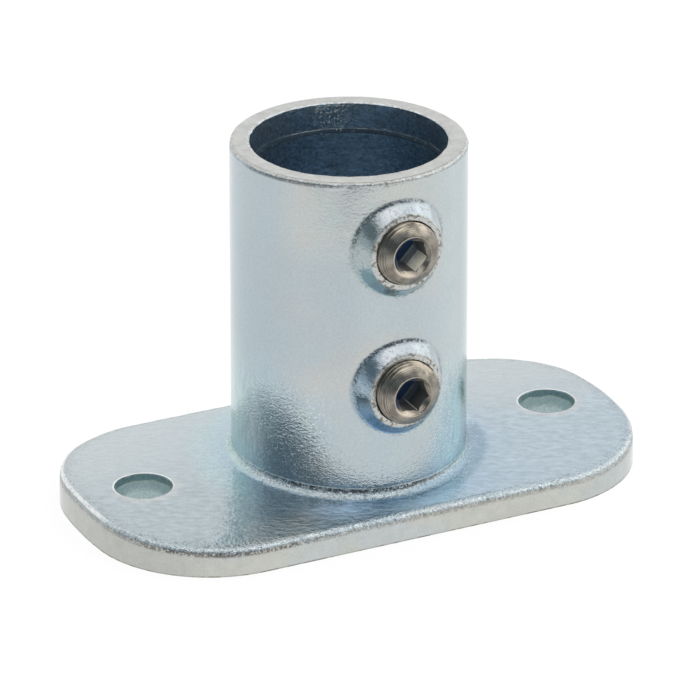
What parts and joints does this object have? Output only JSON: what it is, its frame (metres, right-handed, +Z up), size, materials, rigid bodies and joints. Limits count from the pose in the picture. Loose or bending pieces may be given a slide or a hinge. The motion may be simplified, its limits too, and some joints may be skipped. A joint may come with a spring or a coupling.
{
  "type": "tube clamp base flange",
  "caption": "Cast iron floor flange whose upright socket takes a 48.3 mm scaffold tube and clamps it with two set screws.",
  "frame": {"origin": "on the socket's axis at the underside of the plate", "axes": "+Z up the socket, +X along the plate through both fixing holes, set screws on the -Y side"},
  "size_m": [0.153, 0.0816, 0.0953],
  "materials": {
    "casting": "bright zinc plate over a fine cast skin",
    "screw": "plain steel, semi gloss"
  },
  "bodies": {
    "flange": {"flange_casting": "casting"},
    "upper_screw": {"set_screw_upper": "screw"},
    "lower_screw": {"set_screw_lower": "screw"}
  },
  "joints": [
    {"name": "upper_screw_travel", "type": "slide", "parent": "flange", "child": "upper_screw", "axis": [0, 1, 0], "range_m": [-0.005, 0.003]},
    {"name": "lower_screw_travel", "type": "slide", "parent": "flange", "child": "lower_screw", "axis": [0, 1, 0], "range_m": [-0.00415, 0.00385]}
  ]
}
